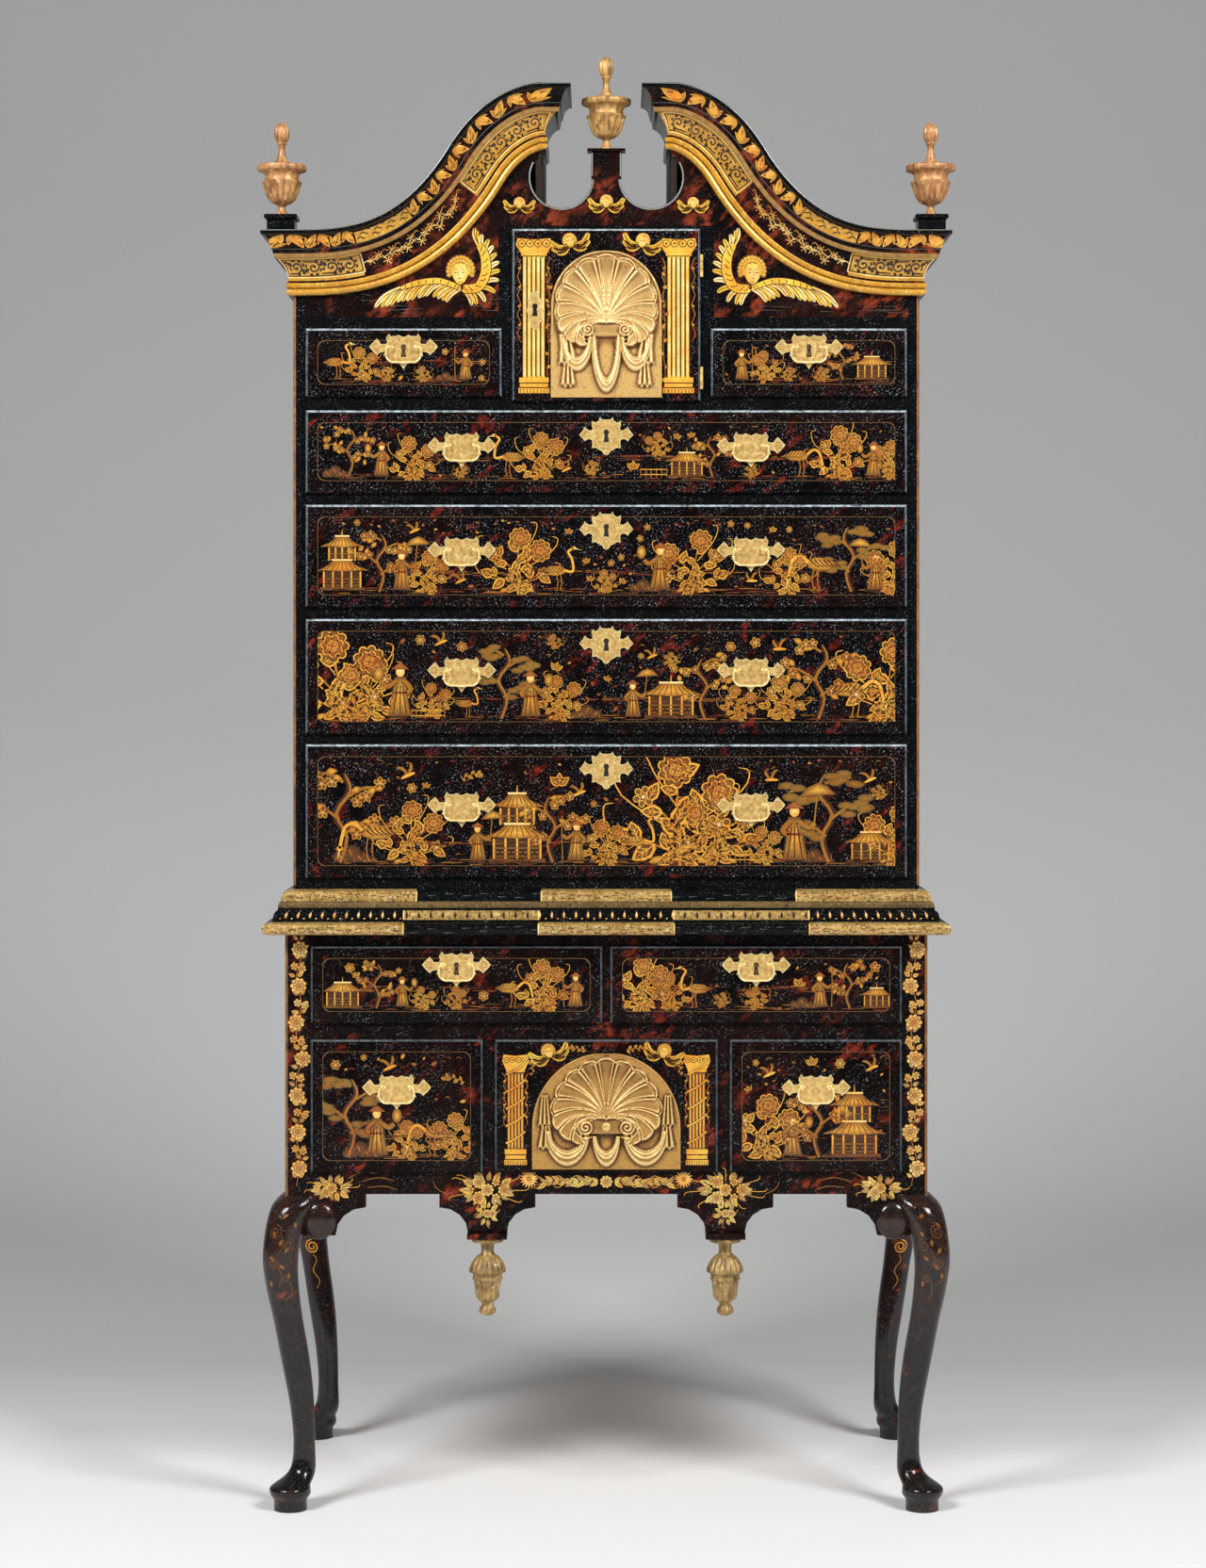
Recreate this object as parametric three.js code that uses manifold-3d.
// A japanned highboy: a tall chest of drawers on four cabriole legs, in two cases,
// with a scrolled bonnet top, a cupboard behind a carved shell, and brass bail pulls.
// Millimetres, +Z up, the front faces -Y, the origin is on the floor under the middle.
import * as THREE from 'three';
import { mergeVertices } from 'three/addons/utils/BufferGeometryUtils.js';
import Module from 'manifold-3d';

const wasm = await Module();
wasm.setup();

// Overall sizes
const lowerWidth = 970;
const lowerDepth = 495;
const upperSideStep = 11;
const upperSetBack = 15;
const legHeight = 478;

// Clearances
const seatGap = 0.3;
const runningGap = 0.5;
const drawerBackGap = 10;
const overrun = 5;

// Boards
const lowerSideThickness = 20;
const upperSideThickness = 16;
const backThickness = 15;
const frontThickness = 20;
const dustThickness = 12;
const railDepth = 60;

// Lower case, from the floor of the case upwards
const apronRailHeight = 38;
const lowerBottomOpening = 192;
const lowerMiddleRail = 33;
const lowerTopOpening = 108;
const lowerTopRail = 56;
const lowerStileWidth = 43;
const topRowDivider = 21;
const bottomRowDivider = 27;
const shellDrawerOpening = 328;
const runnerWidth = 50;
const guideHeight = 20;

// Upper case, from its foot upwards: the rail under each drawer and the drawer's opening
const longRail4 = 55;
const longOpening4 = 193;
const longRail3 = 25;
const longOpening3 = 165;
const longRail2 = 27;
const longOpening2 = 146;
const longRail1 = 27;
const longOpening1 = 116;
const smallRowRail = 30;
const smallOpening = 94;
const smallTopBoard = 22;
const upperStileWidth = 23;
const cupboardRail = 23;
const cupboardWidth = 276;
const cupboardHeight = 252;
const cupboardPost = 25;
const cupboardTopBoard = 10;

// Drawers and door
const lipOverlap = 5;
const lipThickness = 8;
const lipInset = 6;
const plugDepth = 14;
const drawerWall = 10;
const drawerBottom = 6;

// Carved shells on the door and on the middle lower drawer
const doorArchHalfWidth = 84;
const doorArchHeight = 223;
const doorShellRise = 112;
const drawerArchHalfWidth = 112;
const drawerArchHeight = 176;
const drawerShellRise = 100;
const archThickness = 5;
const shellRelief = 10;
const shellLobes = 13;
const voluteRadius = 10;
const voluteOffset = 20;
const knobRadius = 8;
const knobReach = 8;

// Cornice and scrolled top
const corniceHeight = 95;
const corniceProjection = 46;
const pedimentReveal = 32.7;
const scrollRise = 221;
const channelHalfWidth = 99.5;
const cornerReturn = 150;
const roofThickness = 8;
const roofDrop = 4;
const channelFloorRise = 19.7;
const roundHoleRadius = 47;
const roundHoleOffset = 68;
const roundHoleRise = 54;
const plinthHalfWidth = 23;
const plinthRise = 39;
const plinthCapHalfWidth = 29;
const plinthCapHalfDepth = 15;
const plinthCapThickness = 4.5;
const sideBlockHalfWidth = 21;
const sideBlockHeight = 18;
const sideCapHalfWidth = 25;
const sideCapThickness = 7;
const sideCapSetBack = 10;
const sideCapSetIn = 4;

// Finials and drops
const finialHeight = 141;
const finialRadius = 37.5;
const dropHeight = 118;
const dropRadius = 28.5;
const pendantOffset = 180;
const pendantHalfWidth = 72.5;
const pendantNeckHalfWidth = 29.3;
const pendantDepth = 58;
const pendantStep = 20;
const pendantCapThickness = 8.5;
const pendantCapHalfWidth = 30;
const pendantCapHalfDepth = 25;
const bracketReach = 121;
const bracketInner = 75;
const bracketDepth = 62.5;

// Waist moulding
const waistHeight = 68;
const waistProjection = 31;
const waistBelowJoint = 34;
const waistTopLedge = 4;

// Legs
const kneeReach = 32.5;
const ankleInset = 26;
const kneeRadius = 28;
const kneeHeight = 100;
const legPost = 22;
const legPostHeight = 120;

// Brass pulls
const plateWidth = 104;
const plateHeight = 54;
const plateThickness = 2;
const pivotRise = 4.5;
const postOffset = 20.5;
const postRadius = 3;
const postReach = 8.5;
const pivotReach = 5.2;
const wireRadius = 1.9;
const bailDrop = 22;
const longPullOffset = 219;
const longPullRise = 3;
const keyPullDrop = 35;
const bottomPullDrop = 79;
const keyholeRadius = 3.5;
const keyholeFootHalfWidth = 4.5;
const keyholeLength = 16.5;

// Steps round curved forms
const legSides = 12;
const turnedSides = 12;
const postSides = 6;
const wireSides = 6;
const scrollSteps = 7;
const curveSteps = 4;
const bailSteps = 12;

// Places worked out from the sizes above
const lowerHalf = lowerWidth / 2;
const lowerFront = -lowerDepth / 2;
const back = lowerDepth / 2;
const upperHalf = lowerHalf - upperSideStep;
const upperFront = lowerFront + upperSetBack;
const apronTop = legHeight + apronRailHeight;
const middleRailBottom = apronTop + lowerBottomOpening;
const topRowBottom = middleRailBottom + lowerMiddleRail;
const topRowTop = topRowBottom + lowerTopOpening;
const caseJoint = topRowTop + lowerTopRail;
const upperFoot = caseJoint + seatGap;
const lowerInside = lowerHalf - lowerSideThickness - seatGap;
const upperInside = upperHalf - upperSideThickness - seatGap;
const upperOpeningHalf = upperHalf - upperStileWidth;
const lowerOpeningHalf = lowerHalf - lowerStileWidth;
const inBack = back - backThickness - seatGap;
const cupboardHalf = cupboardWidth / 2;
const postOuter = cupboardHalf + cupboardPost;
const longRows = [
  { row: 4, rail: longRail4, opening: longOpening4 },
  { row: 3, rail: longRail3, opening: longOpening3 },
  { row: 2, rail: longRail2, opening: longOpening2 },
  { row: 1, rail: longRail1, opening: longOpening1 },
];
let stack = upperFoot;
const longDrawers = [];
for (const { row, rail, opening } of longRows) {
  const bottom = stack + rail;
  const top = bottom + opening;
  longDrawers.push({ row, railBottom: stack, bottom, top });
  stack = top;
}
const smallBottom = stack + smallRowRail;
const smallTop = smallBottom + smallOpening;
const smallCeiling = smallTop + smallTopBoard;
const cupboardBottom = stack + cupboardRail;
const cupboardTop = cupboardBottom + cupboardHeight;
const cupboardCeiling = cupboardTop + cupboardTopBoard;
const corniceBottom = smallCeiling + pedimentReveal;
const corniceTop = corniceBottom + corniceHeight;
const scrollTop = corniceTop + scrollRise;
const channelFloorTop = cupboardCeiling + channelFloorRise;
const roundHoleHeight = channelFloorTop + roundHoleRise;
const plinthTop = roundHoleHeight + plinthRise;

// Colours and finishes
const lacquer = () => new THREE.MeshStandardMaterial({ color: 0x171315, roughness: 0.3, metalness: 0 });
const redLacquer = () => new THREE.MeshStandardMaterial({ color: 0x3a1713, roughness: 0.32, metalness: 0 });
const gilt = () => new THREE.MeshStandardMaterial({ color: 0xc9a05a, roughness: 0.45, metalness: 0.35 });
const brass = () => new THREE.MeshStandardMaterial({ color: 0xd8b765, roughness: 0.35, metalness: 0.9 });
const pine = () => new THREE.MeshStandardMaterial({ color: 0x8a6a45, roughness: 0.7, metalness: 0 });

const highboy = new THREE.Group();

function addPiece(name, geometry, material, parent = highboy) {
  const mesh = new THREE.Mesh(geometry, material);
  mesh.name = name;
  parent.add(mesh);
  return mesh;
}

// A closed geometry as a solid that can be joined and cut
function solidOf(geometry) {
  const bare = geometry.clone();
  bare.deleteAttribute('normal');
  bare.deleteAttribute('uv');
  const merged = mergeVertices(bare);
  return new wasm.Manifold(new wasm.Mesh({
    numProp: 3,
    vertProperties: new Float32Array(merged.attributes.position.array),
    triVerts: new Uint32Array(merged.index.array),
  }));
}

function geometryOf(solid) {
  const { vertProperties, triVerts } = solid.getMesh();
  const geometry = new THREE.BufferGeometry();
  geometry.setAttribute('position', new THREE.BufferAttribute(new Float32Array(vertProperties), 3));
  geometry.setIndex(new THREE.BufferAttribute(new Uint32Array(triVerts), 1));
  return geometry;
}

function joined(geometries) {
  return geometryOf(geometries.map(solidOf).reduce((whole, piece) => whole.add(piece)));
}

function cutAway(geometry, tools) {
  return geometryOf(tools.map(solidOf).reduce((whole, tool) => whole.subtract(tool), solidOf(geometry)));
}

// A board between two corners
function board(xLow, xHigh, yLow, yHigh, zLow, zHigh) {
  const geometry = new THREE.BoxGeometry(xHigh - xLow, yHigh - yLow, zHigh - zLow);
  return geometry.translate((xLow + xHigh) / 2, (yLow + yHigh) / 2, (zLow + zHigh) / 2);
}

// A board cut to an outline in X and Z, between two planes of Y
function sawn(outline, yLow, yHigh) {
  const shape = outline instanceof THREE.Shape ? outline : new THREE.Shape(outline);
  const geometry = new THREE.ExtrudeGeometry(shape, {
    depth: yHigh - yLow,
    bevelEnabled: false,
    curveSegments: turnedSides,
  });
  return geometry.rotateX(Math.PI / 2).translate(0, yHigh, 0);
}

// A round bar along Y, its front end at yLow
function roundBar(radius, sides, x, z, yLow, yHigh) {
  const geometry = new THREE.CylinderGeometry(radius, radius, yHigh - yLow, sides);
  return geometry.translate(x, (yLow + yHigh) / 2, z);
}

// A closed body through a row of loops that all have the same number of points
function loft(loops, capOutline) {
  const count = loops[0].length;
  const positions = loops.flat().flatMap((point) => [point.x, point.y, point.z]);
  const index = [];
  for (let row = 0; row < loops.length - 1; row += 1) {
    for (let k = 0; k < count; k += 1) {
      const here = row * count + k;
      const next = row * count + ((k + 1) % count);
      index.push(here, next, next + count, here, next + count, here + count);
    }
  }
  const last = (loops.length - 1) * count;
  const turn = THREE.ShapeUtils.isClockWise(capOutline);
  for (const [a, p, q] of THREE.ShapeUtils.triangulateShape(capOutline, [])) {
    const [b, c] = turn ? [q, p] : [p, q];
    index.push(a, c, b, last + a, last + b, last + c);
  }
  const corner = (k) => new THREE.Vector3().fromArray(positions, 3 * k);
  let volume = 0;
  for (let k = 0; k < index.length; k += 3) {
    volume += corner(index[k]).dot(corner(index[k + 1]).cross(corner(index[k + 2])));
  }
  if (volume < 0) index.reverse();
  const geometry = new THREE.BufferGeometry();
  geometry.setAttribute('position', new THREE.Float32BufferAttribute(positions, 3));
  geometry.setIndex(index);
  return geometry;
}

// A moulding: its section, in distance out from the wall and height, carried from station to station
function moulding(section, stations) {
  const loops = stations.map(({ at, out, up }) => section.map(([reach, rise]) => (
    at.clone().addScaledVector(out, reach).addScaledVector(up, rise))));
  return loft(loops, section.map(([reach, rise]) => new THREE.Vector2(reach, rise)));
}

const scaled = (shares, across, tall) => shares.map(([x, z]) => [x * across, z * tall]);
const vector = (x, y, z) => new THREE.Vector3(x, y, z);

// Points of a hollow quarter curve from one corner to another, leaving level
function hollowCurve(fromX, fromZ, toX, toZ) {
  const points = [];
  for (let k = 0; k <= curveSteps; k += 1) {
    const angle = (k / curveSteps) * (Math.PI / 2);
    points.push(new THREE.Vector2(
      fromX + (toX - fromX) * Math.sin(angle),
      toZ + (fromZ - toZ) * Math.cos(angle),
    ));
  }
  return points;
}

// The swan-neck line: shares of its run from the case's corner to the channel, and of its rise
const scrollShares = [
  [0, 0], [0.21, 0], [0.43, 0], [0.632, 0.564],
  [0.763, 0.93], [0.94, 1], [1, 1],
];
const scrollRun = upperHalf - channelHalfWidth;
const scrollPoints = scrollShares.map(([along, rise]) => (
  new THREE.Vector2(-upperHalf + along * scrollRun, corniceTop + rise * scrollRise)));
const scrollHalves = [
  new THREE.CubicBezierCurve(...scrollPoints.slice(0, 4)),
  new THREE.CubicBezierCurve(...scrollPoints.slice(3)),
];

// Points down from the swan-neck's top line by one distance, with the line's own upward normal
function scrollLine(drop) {
  const line = [];
  for (const half of scrollHalves) {
    for (let k = line.length ? 1 : 0; k <= scrollSteps; k += 1) {
      const point = half.getPoint(k / scrollSteps);
      const along = half.getTangent(k / scrollSteps);
      const up = new THREE.Vector2(-along.y, along.x);
      line.push({ point: point.addScaledVector(up, -drop), up });
    }
  }
  return line;
}

// Sections of the mouldings, as shares of projection and height
const corniceShares = [
  [0, 0], [0.11, 0], [0.22, 0.03], [0.22, 0.08], [0.15, 0.105], [0.22, 0.13], [0.22, 0.19],
  [0.15, 0.22], [0.17, 0.31], [0.24, 0.41], [0.35, 0.5], [0.5, 0.57], [0.57, 0.57], [0.62, 0.64],
  [0.64, 0.71], [0.69, 0.72], [0.77, 0.89], [0.9, 0.92], [1, 0.93], [1, 1], [0, 1],
];
const waistShares = [
  [0.4, 0], [0.92, 0.02], [1.04, 0.09], [1.06, 0.18], [0.92, 0.26], [0.62, 0.29],
  [0.56, 0.34], [0.5, 0.5], [0.34, 0.54], [0.3, 0.68], [0.2, 0.74], [0.02, 0.95],
];

function cornice(side) {
  const section = scaled(corniceShares, corniceProjection, corniceHeight);
  const level = vector(0, 0, 1);
  const wall = side * (upperHalf + seatGap);
  const front = upperFront - seatGap;
  const stations = [
    { at: vector(wall, back, corniceBottom), out: vector(side, 0, 0), up: level },
    { at: vector(wall, front, corniceBottom), out: vector(side, -1, 0), up: level },
  ];
  for (const { point, up } of scrollLine(corniceHeight).slice(1, -1)) {
    stations.push({
      at: vector(-side * point.x, front, point.y),
      out: vector(0, -1, 0),
      up: vector(-side * up.x, 0, up.y),
    });
  }
  const inner = side * channelHalfWidth;
  const scrollFoot = scrollTop - corniceHeight;
  stations.push(
    { at: vector(inner, front, scrollFoot), out: vector(-side, -1, 0), up: level },
    { at: vector(inner, upperFront + cornerReturn, scrollFoot), out: vector(-side, 0, 0), up: level },
  );
  return moulding(section, stations);
}

// The block and cap that a side finial stands on, over the cornice's front corner
const sideFinialX = upperHalf + corniceProjection - sideCapHalfWidth - sideCapSetIn;
const sideFinialY = upperFront - corniceProjection + sideCapHalfWidth + sideCapSetBack;
const sideBlockTop = corniceTop + sideBlockHeight;
const sideCapTop = sideBlockTop + sideCapThickness;
const sideTop = corniceTop - roofDrop;

function sideBlock(side) {
  const block = board(
    -sideBlockHalfWidth,
    sideBlockHalfWidth,
    -sideBlockHalfWidth,
    sideBlockHalfWidth,
    sideTop + seatGap,
    sideBlockTop + seatGap,
  );
  const cap = board(
    -sideCapHalfWidth,
    sideCapHalfWidth,
    -sideCapHalfWidth,
    sideCapHalfWidth,
    sideBlockTop,
    sideCapTop,
  );
  return joined([block, cap]).translate(side * sideFinialX, sideFinialY, 0);
}

for (const [name, side] of [['left', -1], ['right', 1]]) {
  addPiece(`cornice_${name}`, joined([cornice(side), sideBlock(side)]), gilt());
}

// The outline of a board under the roof line, from the wall to the channel, left half
function underScroll(halfWidth, drop) {
  const points = scrollLine(drop).map(({ point }) => point);
  const inside = points.filter(({ x }) => x > -halfWidth);
  return [new THREE.Vector2(-halfWidth, points[0].y), ...inside];
}
const mirrored = (points) => points.map(({ x, y }) => new THREE.Vector2(-x, y)).reverse();

const underRoofLeft = underScroll(upperInside, roofDrop);
const channelEdge = new THREE.Vector2(-channelHalfWidth, underRoofLeft.at(-1).y);

const plinthMiddle = upperFront + frontThickness / 2;

function pedimentBoard() {
  const leftEdge = [...underRoofLeft.filter(({ x }) => x < -channelHalfWidth), channelEdge];
  const outline = [
    new THREE.Vector2(-upperInside, smallCeiling + seatGap),
    ...leftEdge,
    ...mirrored(leftEdge),
    new THREE.Vector2(upperInside, smallCeiling + seatGap),
  ];
  const backOfBoard = upperFront + frontThickness;
  const plank = sawn(outline, upperFront, backOfBoard);
  const low = upperFront - overrun;
  const high = backOfBoard + overrun;
  const tools = [
    board(-postOuter - seatGap, postOuter + seatGap, low, high, smallTop, cupboardCeiling + seatGap),
    board(-channelHalfWidth, channelHalfWidth, low, high, plinthTop, scrollTop + overrun),
  ];
  for (const side of [-1, 1]) {
    tools.push(roundBar(roundHoleRadius, 2 * turnedSides, side * roundHoleOffset, roundHoleHeight, low, high));
    tools.push(board(
      ...[side * channelHalfWidth, side * plinthHalfWidth].sort((a, b) => a - b),
      low,
      high,
      roundHoleHeight,
      scrollTop + overrun,
    ));
  }
  return joined([
    cutAway(plank, tools),
    board(-plinthHalfWidth, plinthHalfWidth, upperFront, backOfBoard, roundHoleHeight, plinthTop),
    board(
      -plinthCapHalfWidth,
      plinthCapHalfWidth,
      plinthMiddle - plinthCapHalfDepth,
      plinthMiddle + plinthCapHalfDepth,
      plinthTop,
      plinthTop + plinthCapThickness,
    ),
  ]);
}
addPiece('pediment_board', pedimentBoard(), redLacquer());

// The roof follows the scrolls, turns down the channel's walls and crosses under the channel
function bonnetRoof() {
  const endOfRoof = upperInside - seatGap;
  const upperLine = underScroll(endOfRoof, roofDrop);
  const lowerLine = underScroll(endOfRoof, roofDrop + roofThickness);
  const wallOuter = channelHalfWidth + roofThickness;
  const top = upperLine.filter(({ x }) => x < -channelHalfWidth);
  const under = lowerLine.filter(({ x }) => x < -wallOuter);
  const left = [
    ...top,
    new THREE.Vector2(-channelHalfWidth, channelEdge.y),
    new THREE.Vector2(-channelHalfWidth, channelFloorTop),
  ];
  const leftUnder = [
    ...under,
    new THREE.Vector2(-wallOuter, under.at(-1).y),
    new THREE.Vector2(-wallOuter, channelFloorTop - roofThickness),
  ];
  const outline = [...left, ...mirrored(left), ...mirrored(leftUnder).reverse(), ...leftUnder.reverse()];
  return sawn(outline, upperFront + frontThickness + seatGap, inBack);
}
addPiece('bonnet_roof', bonnetRoof(), lacquer());

function upperBackboard() {
  const leftEdge = [...underRoofLeft.filter(({ x }) => x < -channelHalfWidth), channelEdge];
  const notch = new THREE.Vector2(-channelHalfWidth, channelFloorTop);
  const outline = [
    new THREE.Vector2(-upperInside, upperFoot),
    ...leftEdge,
    notch,
    new THREE.Vector2(-notch.x, notch.y),
    ...mirrored(leftEdge),
    new THREE.Vector2(upperInside, upperFoot),
  ];
  return sawn(outline, back - backThickness, back);
}
addPiece('upper_backboard', upperBackboard(), pine());

for (const [name, side] of [['left', -1], ['right', 1]]) {
  const [xLow, xHigh] = [side * upperHalf, side * (upperHalf - upperSideThickness)].sort((a, b) => a - b);
  addPiece(`upper_side_${name}`, board(xLow, xHigh, upperFront, back, upperFoot, sideTop), redLacquer());
}

// Rails, dust boards, stiles, and the posts and ceiling of the cupboard
function upperFrame() {
  const railBack = upperFront + railDepth;
  const pieces = [];
  for (const side of [-1, 1]) {
    const [xLow, xHigh] = [side * upperOpeningHalf, side * upperInside].sort((a, b) => a - b);
    pieces.push(board(xLow, xHigh, upperFront, railBack, upperFoot, smallCeiling));
  }
  const shelves = longDrawers.map(({ railBottom, bottom }) => [railBottom, bottom]);
  shelves.push([longDrawers.at(-1).top, smallBottom]);
  for (const [low, high] of shelves) {
    const crossing = high === smallBottom ? cupboardBottom : high;
    pieces.push(board(-upperInside, upperInside, upperFront, railBack, low, crossing));
    pieces.push(board(-upperInside, upperInside, upperFront, inBack, crossing - dustThickness, crossing));
  }
  for (const side of [-1, 1]) {
    const across = (a, b) => [side * a, side * b].sort((p, q) => p - q);
    pieces.push(
      board(...across(postOuter, upperInside), upperFront, inBack, cupboardBottom - overrun, smallBottom),
      board(...across(cupboardHalf, postOuter), upperFront, inBack, cupboardBottom - overrun, cupboardCeiling),
      board(...across(cupboardHalf, upperInside), upperFront, inBack, smallTop, smallCeiling),
    );
  }
  pieces.push(board(-postOuter, postOuter, upperFront, inBack, cupboardTop, cupboardCeiling));
  return joined(pieces);
}
addPiece('upper_frame', upperFrame(), lacquer());

// Waist moulding: mitred round the front and both sides, lapping both cases
function waistMoulding() {
  const bottom = caseJoint - waistBelowJoint;
  const sideStep = lowerHalf - upperHalf;
  const loops = [];
  const shoulder = waistBelowJoint + seatGap;
  const section = (step) => [
    [0, shoulder], [0, 0],
    ...scaled(waistShares, waistProjection, waistHeight),
    [waistTopLedge - step, waistHeight], [-step, waistHeight], [-step, shoulder],
  ];
  const corners = [
    [-1, back, 0], [-1, lowerFront - seatGap, 1], [1, lowerFront - seatGap, 1], [1, back, 0],
  ];
  for (const [side, y, mitre] of corners) {
    const sideSection = section(sideStep);
    const frontSection = section(upperSetBack);
    loops.push(sideSection.map(([reach, rise], k) => vector(
      side * (lowerHalf + seatGap + reach),
      y - mitre * frontSection[k][0],
      bottom + rise,
    )));
  }
  return loft(loops, section(sideStep).map(([reach, rise]) => new THREE.Vector2(reach, rise)));
}
addPiece('waist_moulding', waistMoulding(), gilt());

// A cabriole leg at the corner (0, 0), from its pad to the knee and then over the knee: shares of
// that part's height; of the way from the ankle's inset to the knee's reach; and of the knee's radius
const shaftShares = [
  [0.04, 0.33, 0.9], [0.063, 0.33, 1.09], [0.086, 0.34, 1.11], [0.101, 0.29, 1], [0.127, 0.12, 0.8],
  [0.164, 0.02, 0.67], [0.24, 0, 0.59], [0.316, 0.01, 0.6], [0.424, 0.06, 0.66], [0.537, 0.15, 0.74],
  [0.651, 0.26, 0.78], [0.764, 0.38, 0.79], [0.885, 0.5, 0.87],
];
const kneeShares = [
  [0, 0.56, 0.95], [0.38, 0.5, 1], [0.665, 0.36, 1.12], [0.857, 0.2, 1.2], [1, 0, 1.1],
];
const kneeTravel = kneeReach + ankleInset;
const kneeFoot = legHeight - seatGap - kneeHeight;

function legBody(clearance) {
  const loops = [];
  const outline = [];
  const ring = (height, shift, radius) => {
    const centre = shift * kneeTravel - ankleInset;
    return Array.from({ length: legSides }, (_, k) => {
      const angle = (2 * Math.PI * k) / legSides;
      return vector(centre + radius * Math.cos(angle), centre + radius * Math.sin(angle), height);
    });
  };
  const [, padShift, padShare] = shaftShares[0];
  loops.push(ring(-clearance, padShift, padShare * kneeRadius + clearance));
  for (const [tall, shift, radius] of shaftShares) {
    loops.push(ring(tall * kneeFoot, shift, radius * kneeRadius + clearance));
  }
  for (const [tall, shift, radius] of kneeShares) {
    loops.push(ring(kneeFoot + tall * kneeHeight, shift, radius * kneeRadius + clearance));
  }
  for (let k = 0; k < legSides; k += 1) {
    const angle = (2 * Math.PI * k) / legSides;
    outline.push(new THREE.Vector2(Math.cos(angle), Math.sin(angle)));
  }
  return loft(loops, outline);
}

// The post that is glued into the corner of the case, above the knee
function legWithPost() {
  const near = -lowerSideThickness - seatGap;
  const post = board(
    near - legPost,
    near,
    near - legPost,
    near,
    legHeight - legPost,
    legHeight + legPostHeight,
  );
  return joined([legBody(0), post]);
}

// Corners: the leg is turned by quarter turns, so that its knee points away from the case
const corners = [
  { name: 'front_left', x: -1, y: -1, turn: Math.PI },
  { name: 'front_right', x: 1, y: -1, turn: -Math.PI / 2 },
  { name: 'back_left', x: -1, y: 1, turn: Math.PI / 2 },
  { name: 'back_right', x: 1, y: 1, turn: 0 },
];

function atCorner(geometry, { x, y, turn }) {
  return geometry.rotateZ(turn).translate(x * lowerHalf, y * back, 0);
}

for (const corner of corners) {
  addPiece(`leg_${corner.name}`, atCorner(legWithPost(), corner), redLacquer());
}
const legCuts = corners.map((corner) => atCorner(legBody(seatGap), corner));

// Outline of a bottom edge with a bracket beside each leg, between two outer ends
function bracketEdge(halfLength) {
  const low = legHeight - bracketDepth;
  return [
    new THREE.Vector2(-halfLength, low),
    ...hollowCurve(-halfLength + bracketReach, legHeight - pendantStep, -halfLength + bracketInner, low).reverse(),
    new THREE.Vector2(-halfLength + bracketReach, legHeight),
  ];
}

// Lower case: two sides and the back, dovetailed together
function lowerCase() {
  const frontOfSide = lowerFront + frontThickness + seatGap;
  const halfLength = (back - frontOfSide) / 2;
  const middle = (back + frontOfSide) / 2;
  const backEdge = bracketEdge(lowerHalf).filter(({ y }) => y >= 0);
  const edge = bracketEdge(back).map(({ x, y }) => new THREE.Vector2(Math.max(x, -halfLength), y));
  const outline = [
    ...edge,
    ...mirrored(edge),
    new THREE.Vector2(halfLength, caseJoint),
    new THREE.Vector2(-halfLength, caseJoint),
  ];
  const pieces = [];
  for (const side of [-1, 1]) {
    const plank = sawn(outline, 0, lowerSideThickness);
    plank.rotateZ(Math.PI / 2);
    pieces.push(plank.translate(side > 0 ? lowerHalf : -lowerHalf + lowerSideThickness, middle, 0));
  }
  const backOutline = [
    ...backEdge,
    ...mirrored(backEdge),
    new THREE.Vector2(lowerHalf, caseJoint),
    new THREE.Vector2(-lowerHalf, caseJoint),
  ];
  pieces.push(sawn(backOutline, back - backThickness, back));
  return cutAway(joined(pieces), legCuts);
}
addPiece('lower_case', lowerCase(), redLacquer());

// One pendant of the apron, from its left step to its right step
function pendantEdge(across) {
  const low = legHeight - pendantDepth;
  const stepBottom = legHeight - pendantStep;
  const left = [
    new THREE.Vector2(across - pendantHalfWidth, legHeight),
    ...hollowCurve(across - pendantHalfWidth, stepBottom, across - pendantNeckHalfWidth, low),
  ];
  const right = left.map(({ x, y }) => new THREE.Vector2(2 * across - x, y)).reverse();
  return [...left, ...right];
}

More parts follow.
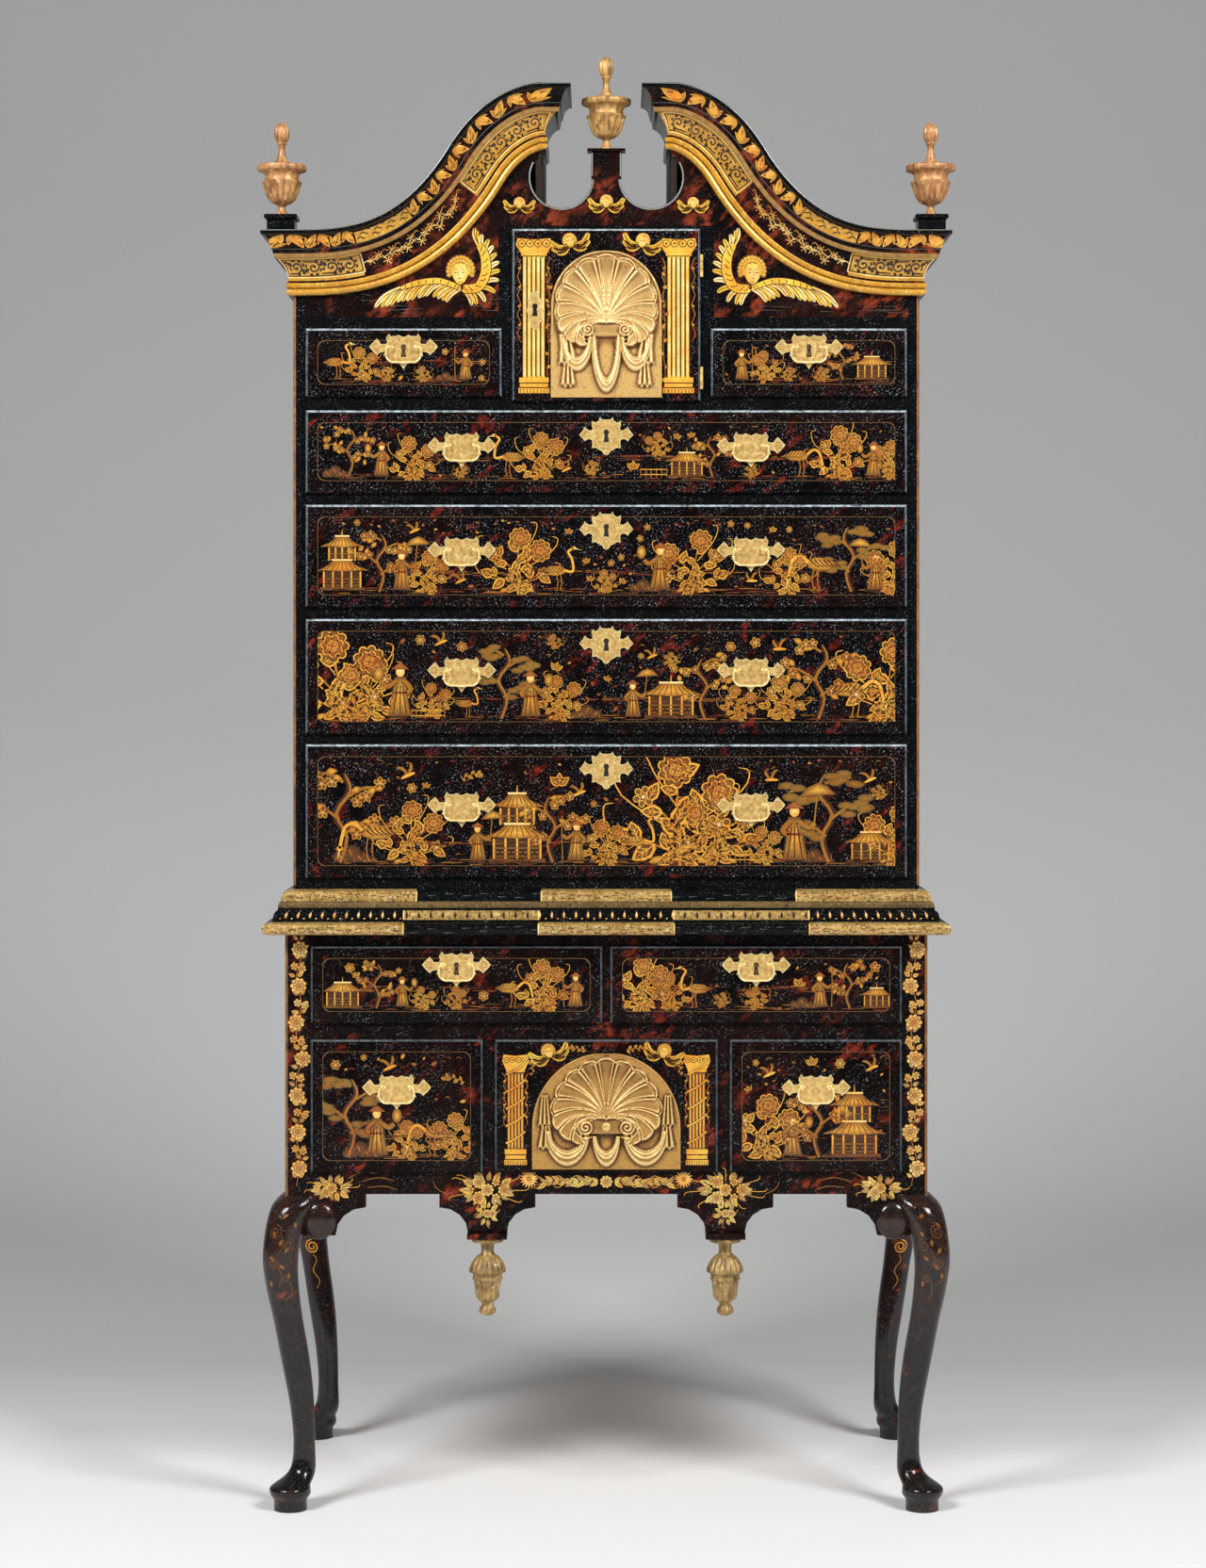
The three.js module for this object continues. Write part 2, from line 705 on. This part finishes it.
// Front of the lower case: stiles, rails, dividers and apron, with the boards and runners behind
function lowerFrontFrame() {
  const edge = bracketEdge(lowerHalf);
  const outline = [
    ...edge,
    ...pendantEdge(-pendantOffset),
    ...pendantEdge(pendantOffset),
    ...mirrored(edge),
    new THREE.Vector2(lowerHalf, caseJoint),
    new THREE.Vector2(-lowerHalf, caseJoint),
  ];
  const faceBack = lowerFront + frontThickness;
  const face = sawn(outline, lowerFront, faceBack);
  const low = lowerFront - overrun;
  const high = faceBack + overrun;
  const shellHalf = shellDrawerOpening / 2;
  const outerLow = shellHalf + bottomRowDivider;
  const holes = [board(-shellHalf, shellHalf, low, high, apronTop, middleRailBottom)];
  for (const side of [-1, 1]) {
    const across = (a, b) => [side * a, side * b].sort((p, q) => p - q);
    holes.push(
      board(...across(outerLow, lowerOpeningHalf), low, high, apronTop, middleRailBottom),
      board(...across(topRowDivider / 2, lowerOpeningHalf), low, high, topRowBottom, topRowTop),
    );
  }
  const pieces = [
    cutAway(cutAway(face, holes), legCuts),
    board(-lowerInside, lowerInside, lowerFront, inBack, topRowBottom - dustThickness, topRowBottom),
    board(-lowerInside, lowerInside, faceBack - overrun, inBack, caseJoint - dustThickness, caseJoint),
    board(-topRowDivider / 2, topRowDivider / 2, lowerFront, inBack, topRowBottom - overrun,
      topRowBottom + guideHeight),
  ];
  for (const side of [-1, 1]) {
    const across = (a, b) => [side * a, side * b].sort((p, q) => p - q);
    const dividerMiddle = shellHalf + bottomRowDivider / 2;
    pieces.push(
      board(...across(dividerMiddle - runnerWidth / 2, dividerMiddle + runnerWidth / 2),
        faceBack - overrun, inBack, apronTop - dustThickness, apronTop),
      board(...across(shellHalf, outerLow), lowerFront, inBack, apronTop - dustThickness, apronTop + guideHeight),
      board(...across(lowerOpeningHalf - legPost, lowerOpeningHalf), faceBack - overrun, inBack,
        apronTop - dustThickness, apronTop),
      board(
        ...across(pendantOffset - pendantCapHalfWidth, pendantOffset + pendantCapHalfWidth),
        lowerFront + frontThickness / 2 - pendantCapHalfDepth,
        lowerFront + frontThickness / 2 + pendantCapHalfDepth,
        legHeight - pendantDepth - pendantCapThickness,
        legHeight - pendantDepth,
      ),
    );
  }
  return joined(pieces);
}
addPiece('lower_front_frame', lowerFrontFrame(), redLacquer());

// Turned pieces: shares of the greatest radius and of the height
const finialShares = [
  [0, 0], [0.27, 0], [0.24, 0.03], [0.13, 0.07], [0.15, 0.1], [0.38, 0.12], [0.56, 0.17], [0.7, 0.25],
  [0.8, 0.35], [0.66, 0.38], [0.62, 0.45], [0.95, 0.51], [1, 0.54], [0.95, 0.56], [0.3, 0.575],
  [0.15, 0.64], [0.15, 0.75], [0.27, 0.79], [0.31, 0.86], [0.27, 0.93], [0.14, 0.98], [0, 1],
];
const dropShares = [
  [0, 1], [0.84, 1], [0.84, 0.95], [0.38, 0.93], [0.33, 0.85], [0.38, 0.79], [0.6, 0.76], [0.86, 0.68],
  [1, 0.58], [0.78, 0.54], [0.74, 0.46], [0.66, 0.34], [0.62, 0.25], [0.38, 0.19], [0.3, 0.14],
  [0.43, 0.1], [0.44, 0.05], [0.28, 0.01], [0, 0],
];

function turned(shares, radius, height) {
  const profile = shares.map(([r, h]) => new THREE.Vector2(r * radius, h * height));
  if (profile[0].y > profile.at(-1).y) profile.reverse();
  return new THREE.LatheGeometry(profile, turnedSides).rotateX(Math.PI / 2);
}

const finialPlaces = [
  { name: 'left', x: -sideFinialX, y: sideFinialY, z: sideCapTop },
  { name: 'centre', x: 0, y: plinthMiddle, z: plinthTop + plinthCapThickness },
  { name: 'right', x: sideFinialX, y: sideFinialY, z: sideCapTop },
];
for (const { name, x, y, z } of finialPlaces) {
  const finial = addPiece(`finial_${name}`, turned(finialShares, finialRadius, finialHeight), gilt());
  finial.position.set(x, y, z + seatGap);
}
for (const [name, side] of [['left', -1], ['right', 1]]) {
  const drop = addPiece(`drop_${name}`, turned(dropShares, dropRadius, dropHeight), gilt());
  const hangs = legHeight - pendantDepth - pendantCapThickness - seatGap;
  drop.position.set(side * pendantOffset, lowerFront + frontThickness / 2, hangs - dropHeight);
}

// A lipped slab in front of the plane y = 0, over an opening of the given size
function lippedSlab(opening, height) {
  const lip = (inset, y) => {
    const x = opening / 2 + lipOverlap - inset;
    const z = height / 2 + lipOverlap - inset;
    return [vector(-x, y, -z), vector(x, y, -z), vector(x, y, z), vector(-x, y, z)];
  };
  const square = [[-1, -1], [1, -1], [1, 1], [-1, 1]].map(([x, z]) => new THREE.Vector2(x, z));
  const rear = -seatGap;
  return loft([
    lip(0, rear),
    lip(0, rear - lipThickness / 3),
    lip(lipInset / 3, rear - (2 * lipThickness) / 3),
    lip(lipInset, rear - lipThickness),
  ], square);
}
const faceReach = lipThickness + seatGap;

// A drawer whose opening is centred on x and z, its box running back from the case's front
function drawer(opening, height, length) {
  const x = opening / 2 - runningGap;
  const zLow = -height / 2 + runningGap;
  const zHigh = height / 2 - runningGap;
  const box = board(-x, x, -seatGap - lipThickness / 3, length, zLow, zHigh);
  const hollow = board(
    drawerWall - x,
    x - drawerWall,
    plugDepth,
    length - drawerWall,
    zLow + drawerBottom,
    zHigh + overrun,
  );
  return joined([cutAway(box, [hollow]), lippedSlab(opening, height)]);
}

// An arched panel with a fluted shell fanned out over it, in front of the plane y = 0
function carvedShell(halfWidth, height, rise) {
  const arch = new THREE.Shape();
  arch.moveTo(-halfWidth, 0);
  arch.lineTo(-halfWidth, height - halfWidth);
  arch.absarc(0, height - halfWidth, halfWidth, Math.PI, 0, true);
  arch.lineTo(halfWidth, 0);
  const panel = sawn(arch, -archThickness, seatGap);
  const focus = height - rise;
  const above = height - halfWidth - focus;
  const fanStart = -Math.PI / 7;
  const fanSpan = Math.PI - 2 * fanStart;
  const steps = 2 * shellLobes;
  const ringShares = [0.12, 0.45, 0.8, 0.96, 1];
  const behind = archThickness / 3;
  const sections = [];
  for (let k = 0; k <= steps; k += 1) {
    const angle = fanStart + (fanSpan * k) / steps;
    const across = above * Math.cos(angle);
    const edge = above * Math.sin(angle) + Math.sqrt(halfWidth * halfWidth - across * across);
    const point = (share, reach) => vector(
      share * edge * Math.cos(angle),
      -reach,
      Math.max(focus + share * edge * Math.sin(angle), archThickness),
    );
    const front = ringShares.map((share) => {
      const ridge = k % 2 ? 1 : 1 - share / 3;
      const swell = archThickness + shellRelief * ridge * (1 - share / 2);
      return point(share, share < 1 ? swell : archThickness + seatGap);
    });
    sections.push([...front, point(1, behind), point(ringShares[0], behind)]);
  }
  const capOutline = [...ringShares.map((share) => [share, 1]), [1, 0], [ringShares[0], 0]];
  const fan = loft(sections, capOutline.map(([x, z]) => new THREE.Vector2(x, z)));
  const scroll = archThickness + shellRelief;
  const under = focus - voluteRadius;
  const volutes = [-1, 1].map((side) => (
    roundBar(voluteRadius, postSides, side * voluteOffset, under, -scroll - archThickness / 2, seatGap)));
  const hub = board(-scroll, scroll, -scroll, seatGap, under - scroll / 2, under + scroll / 2);
  return [panel, fan, ...volutes, hub];
}

// One pull: plate with its two posts, and the bail that swings on them
const plateShares = [
  [0, 0.78], [0.15, 0.92], [0.26, 0.83], [0.35, 0.8], [0.43, 0.97], [0.505, 0.73], [0.47, 0.53],
  [0.53, 0.39], [0.66, 0.39], [0.78, 0.69], [1, 0.25], [0.77, -0.22], [0.66, -0.06], [0.52, -0.1],
  [0.5, -0.42], [0.33, -0.66], [0.11, -0.72], [0, -1],
];
const bailShares = [
  [-1, 0], [-1.03, -0.35], [-0.98, -0.7], [-0.72, -0.96], [-0.35, -0.97], [0, -1],
  [0.35, -0.97], [0.72, -0.96], [0.98, -0.7], [1.03, -0.35], [1, 0],
];
const armOffset = postOffset + postRadius + seatGap + wireRadius;

function backplate(keyed) {
  const right = scaled(plateShares, plateWidth / 2, plateHeight / 2)
    .map(([x, z]) => new THREE.Vector2(x, z));
  const outline = new THREE.Shape([...mirrored(right).slice(0, -1), ...right.slice(0, -1)]);
  if (keyed) {
    const keyhole = new THREE.Path();
    keyhole.absarc(0, keyholeLength / 2, keyholeRadius, -Math.PI / 4, Math.PI + Math.PI / 4, false);
    keyhole.lineTo(-keyholeFootHalfWidth, -keyholeLength / 2);
    keyhole.lineTo(keyholeFootHalfWidth, -keyholeLength / 2);
    outline.holes.push(keyhole);
  }
  const plate = new THREE.ExtrudeGeometry(outline, {
    depth: plateThickness,
    bevelEnabled: false,
    curveSegments: postSides,
  }).rotateX(Math.PI / 2);
  const posts = [-1, 1].map((side) => (
    roundBar(postRadius, postSides, side * postOffset, pivotRise, -plateThickness - postReach, -plateThickness / 2)));
  return joined([plate, ...posts]).translate(0, -seatGap, 0);
}

function bail() {
  const hang = -plateThickness - seatGap;
  const restReach = wireRadius + seatGap;
  const path = new THREE.CatmullRomCurve3(bailShares.map(([x, z]) => vector(
    x * armOffset,
    hang - pivotReach - z * (pivotReach - restReach),
    pivotRise + z * bailDrop,
  )));
  const section = Array.from({ length: wireSides }, (_, k) => {
    const angle = (2 * Math.PI * k) / wireSides;
    return new THREE.Vector2(wireRadius * Math.cos(angle), wireRadius * Math.sin(angle));
  });
  return new THREE.ExtrudeGeometry(new THREE.Shape(section), {
    steps: bailSteps,
    extrudePath: path,
    bevelEnabled: false,
  });
}

function addPull(owner, suffix, x, z, front, keyed) {
  const hang = new THREE.Group();
  hang.position.set(x, front - faceReach, z);
  highboy.add(hang);
  addPiece(`${owner}_plate${suffix}`, backplate(keyed), brass(), hang);
  addPiece(`${owner}_bail${suffix}`, bail(), brass(), hang);
}

const upperLength = inBack - upperFront - drawerBackGap;
const lowerLength = inBack - lowerFront - drawerBackGap;

for (const { row, bottom, top } of longDrawers) {
  const name = `long_drawer_${row}`;
  const z = (bottom + top) / 2;
  const piece = addPiece(name, drawer(2 * upperOpeningHalf, top - bottom, upperLength), lacquer());
  piece.position.set(0, upperFront, z);
  addPull(name, '_left', -longPullOffset, z + longPullRise, upperFront, false);
  addPull(name, '_right', longPullOffset, z + longPullRise, upperFront, false);
}

// Drawers that come in pairs, left and right
const pairs = [
  {
    name: 'small_drawer', inner: postOuter, outer: upperOpeningHalf, bottom: smallBottom, top: smallTop,
    front: upperFront, length: upperLength, drop: keyPullDrop, keyed: true,
  },
  {
    name: 'lower_top_drawer', inner: topRowDivider / 2, outer: lowerOpeningHalf, bottom: topRowBottom,
    top: topRowTop, front: lowerFront, length: lowerLength, drop: keyPullDrop, keyed: true,
  },
  {
    name: 'lower_bottom_drawer', inner: shellDrawerOpening / 2 + bottomRowDivider, outer: lowerOpeningHalf,
    bottom: apronTop, top: middleRailBottom, front: lowerFront, length: lowerLength, drop: bottomPullDrop,
    keyed: false,
  },
];
for (const { name, inner, outer, bottom, top, front, length, drop, keyed } of pairs) {
  for (const [hand, side] of [['left', -1], ['right', 1]]) {
    const x = (side * (inner + outer)) / 2;
    const z = (bottom + top) / 2;
    const piece = addPiece(`${name}_${hand}`, drawer(outer - inner, top - bottom, length), lacquer());
    piece.position.set(x, front, z);
    addPull(`${name}_${hand}`, '', x, top + lipOverlap - drop, front, keyed);
  }
}

// The middle lower drawer, with its shell and small knob
function shellDrawer() {
  const height = middleRailBottom - apronTop;
  const foot = -height / 2 - lipOverlap + lipInset;
  const carving = carvedShell(drawerArchHalfWidth, drawerArchHeight, drawerShellRise)
    .map((piece) => piece.translate(0, -faceReach, foot));
  const knobZ = foot + drawerArchHeight - drawerShellRise - voluteRadius;
  const knobFront = -faceReach - archThickness - shellRelief;
  const knob = roundBar(knobRadius, postSides, 0, knobZ, knobFront - knobReach, knobFront + overrun);
  return joined([drawer(shellDrawerOpening, height, lowerLength), ...carving, knob]);
}
const middleDrawer = addPiece('shell_drawer', shellDrawer(), gilt());
middleDrawer.position.set(0, lowerFront, (apronTop + middleRailBottom) / 2);

// The cupboard's door: a lipped slab with its shell, hinged along its right edge
function cupboardDoor() {
  const foot = -cupboardHeight / 2 - lipOverlap + lipInset;
  const carving = carvedShell(doorArchHalfWidth, doorArchHeight, doorShellRise)
    .map((piece) => piece.translate(0, -faceReach, foot));
  const x = cupboardHalf - runningGap;
  const z = cupboardHeight / 2 - runningGap;
  const plug = board(-x, x, -seatGap - lipThickness / 3, plugDepth, -z, z);
  return joined([plug, lippedSlab(cupboardWidth, cupboardHeight), ...carving]);
}
const door = addPiece('cupboard_door', cupboardDoor(), gilt());
door.position.set(0, upperFront, (cupboardBottom + cupboardTop) / 2);

export default highboy;
